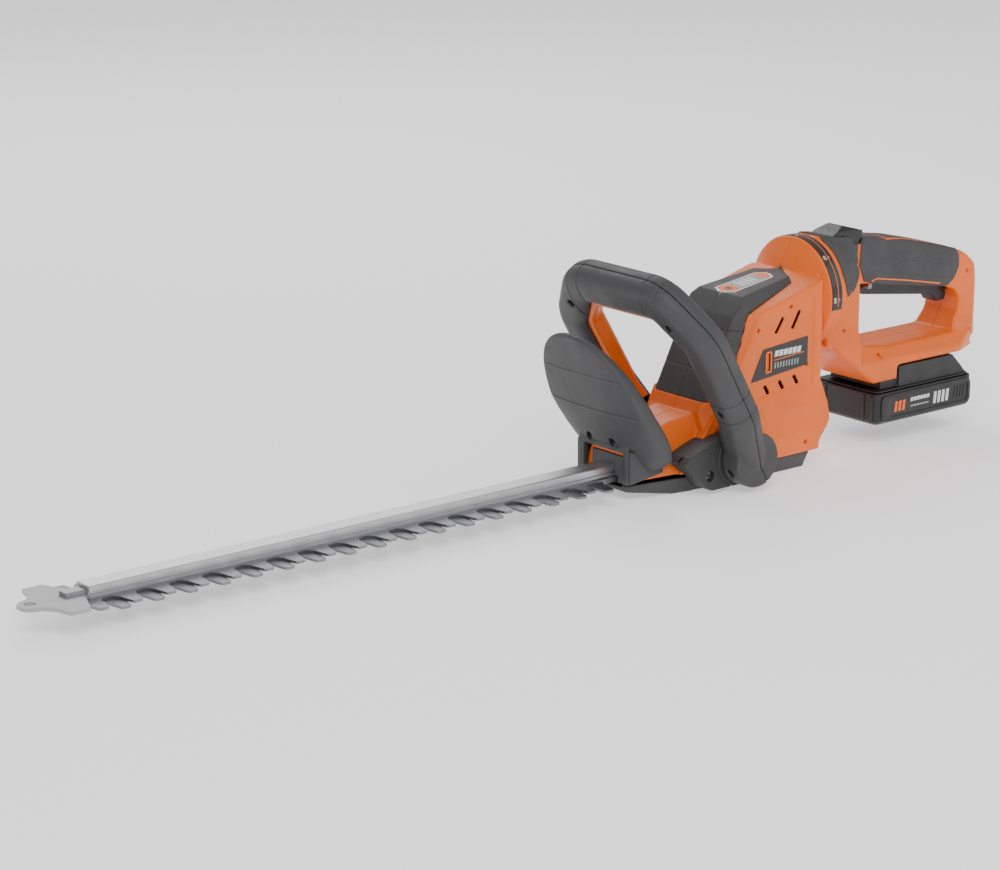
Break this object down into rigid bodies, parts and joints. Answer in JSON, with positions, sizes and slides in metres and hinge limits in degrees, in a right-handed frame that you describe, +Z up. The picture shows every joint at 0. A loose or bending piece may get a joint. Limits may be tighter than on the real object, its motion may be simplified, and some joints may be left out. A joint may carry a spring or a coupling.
{
  "type": "hedge trimmer",
  "caption": "Cordless hedge trimmer with a double-sided reciprocating blade, hand guard, loop front handle and a swivelling rear handle with a slide-off battery.",
  "frame": {"origin": "middle of the base's flat underside, on the surface the tool rests on", "axes": "+X back from the blade towards the battery, +Z up, -Y to the operator's left"},
  "size_m": [1.0202, 0.1956, 0.202],
  "materials": {
    "orange_plastic": "satin moulded",
    "grey_plastic": "fine matte texture",
    "black_plastic": "satin moulded",
    "grip_rubber": "soft matte",
    "rail_aluminium": "satin extruded",
    "blade_steel": "ground",
    "cast_tip": "matte cast",
    "screw_steel": "zinc plated",
    "gear_steel": "machined",
    "motor_steel": "zinc plated",
    "cell_wrap": "shrink wrap",
    "board_green": "lacquered",
    "label_black": "satin label"
  },
  "bodies": {
    "housing": {"housing_left": "orange_plastic", "housing_right": "orange_plastic", "top_cover_left": "grey_plastic", "top_cover_right": "grey_plastic", "angle_strip": "label_black", "base_cover": "grey_plastic", "nose_block": "grey_plastic", "nameplate_left": "label_black", "nameplate_right": "label_black", "guard": "grey_plastic", "guard_screws": "screw_steel", "blade_rail": "rail_aluminium", "blade_bolts": "screw_steel", "blade_washers": "screw_steel", "blade_nuts": "screw_steel", "tip_plate": "cast_tip", "lower_bearing": "gear_steel", "upper_bearing": "gear_steel", "gearbox_plate": "rail_aluminium", "motor": "motor_steel", "front_handle_front": "grey_plastic", "front_handle_rear": "grey_plastic", "front_handle_screws": "screw_steel", "front_switch": "black_plastic", "handle_bracket_left": "grey_plastic", "handle_bracket_right": "grey_plastic", "bracket_screws": "screw_steel", "housing_screws": "screw_steel"},
    "gear_train": {"drive_gear": "gear_steel", "gear_shaft": "gear_steel", "eccentric_cams": "gear_steel"},
    "rotor": {"motor_shaft": "gear_steel", "pinion": "gear_steel", "cooling_fan": "black_plastic"},
    "upper_rod": {"upper_rod": "gear_steel"},
    "lower_rod": {"lower_rod": "gear_steel"},
    "upper_blade": {"upper_blade": "blade_steel", "upper_blade_pin": "gear_steel"},
    "lower_blade": {"lower_blade": "blade_steel", "lower_blade_pin": "gear_steel"},
    "switch_bar": {"switch_bar": "orange_plastic"},
    "rear_handle": {"rear_handle_left": "orange_plastic", "rear_handle_right": "orange_plastic", "grip_overmould": "grip_rubber", "saddle_overmould": "grip_rubber", "trigger_pin": "screw_steel", "trigger_switch": "black_plastic", "terminal_block": "black_plastic"},
    "trigger": {"trigger": "black_plastic"},
    "swivel_lever": {"swivel_lever": "black_plastic"},
    "battery": {"battery_case": "black_plastic", "battery_lid": "black_plastic", "battery_cells": "cell_wrap", "battery_board": "board_green"},
    "battery_button": {"battery_button": "black_plastic"}
  },
  "joints": [
    {"name": "gear_spin", "type": "hinge", "parent": "housing", "child": "gear_train", "pos_m": [-0.03, 0, 0.03], "axis": [0, 0, 1], "continuous": true},
    {"name": "motor_spin", "type": "hinge", "parent": "housing", "child": "rotor", "pos_m": [0.01, 0, 0.03], "axis": [0, 0, 1], "continuous": true},
    {"name": "upper_rod_turn", "type": "hinge", "parent": "gear_train", "child": "upper_rod", "pos_m": [-0.02424, -0.00555, 0.024], "axis": [0, 0, 1], "continuous": true},
    {"name": "lower_rod_turn", "type": "hinge", "parent": "gear_train", "child": "lower_rod", "pos_m": [-0.03576, 0.00555, 0.013], "axis": [0, 0, 1], "continuous": true},
    {"name": "upper_blade_slide", "type": "slide", "parent": "housing", "child": "upper_blade", "axis": [1, 0, 0], "range_m": [-0.01376, 0.00224]},
    {"name": "lower_blade_slide", "type": "slide", "parent": "housing", "child": "lower_blade", "axis": [1, 0, 0], "range_m": [-0.00224, 0.01376]},
    {"name": "bar_squeeze", "type": "slide", "parent": "housing", "child": "switch_bar", "axis": [-0.5105, 0, 0.8599], "range_m": [0, 0.004], "stiffness_N_per_m": 900, "springref_m": -0.002},
    {"name": "handle_swivel", "type": "hinge", "parent": "housing", "child": "rear_handle", "pos_m": [0.108, 0, 0.148], "axis": [1, 0, 0], "range_deg": [-90, 90]},
    {"name": "trigger_pull", "type": "hinge", "parent": "rear_handle", "child": "trigger", "pos_m": [0.173, 0, 0.145], "axis": [0, -1, 0], "range_deg": [0, 4.5], "stiffness_Nm_per_rad": 2, "springref_deg": -3.44},
    {"name": "swivel_lock", "type": "slide", "parent": "rear_handle", "child": "swivel_lever", "axis": [1, 0, 0], "range_m": [0, 0.004], "stiffness_N_per_m": 400, "springref_m": -0.002},
    {"name": "battery_slide", "type": "slide", "parent": "rear_handle", "child": "battery", "axis": [1, 0, 0], "range_m": [0, 0.13]},
    {"name": "battery_release", "type": "slide", "parent": "battery", "child": "battery_button", "axis": [0, 0, -1], "range_m": [0, 0.003], "stiffness_N_per_m": 300, "springref_m": -0.002}
  ],
  "couplings": [
    {"joint": "motor_spin", "follows": "gear_spin", "ratio": -4.3333},
    {"joint": "upper_rod_turn", "follows": "gear_spin", "ratio": -1},
    {"joint": "lower_rod_turn", "follows": "gear_spin", "ratio": -1},
    {"joint": "lower_blade_slide", "follows": "upper_blade_slide", "ratio": -1}
  ]
}
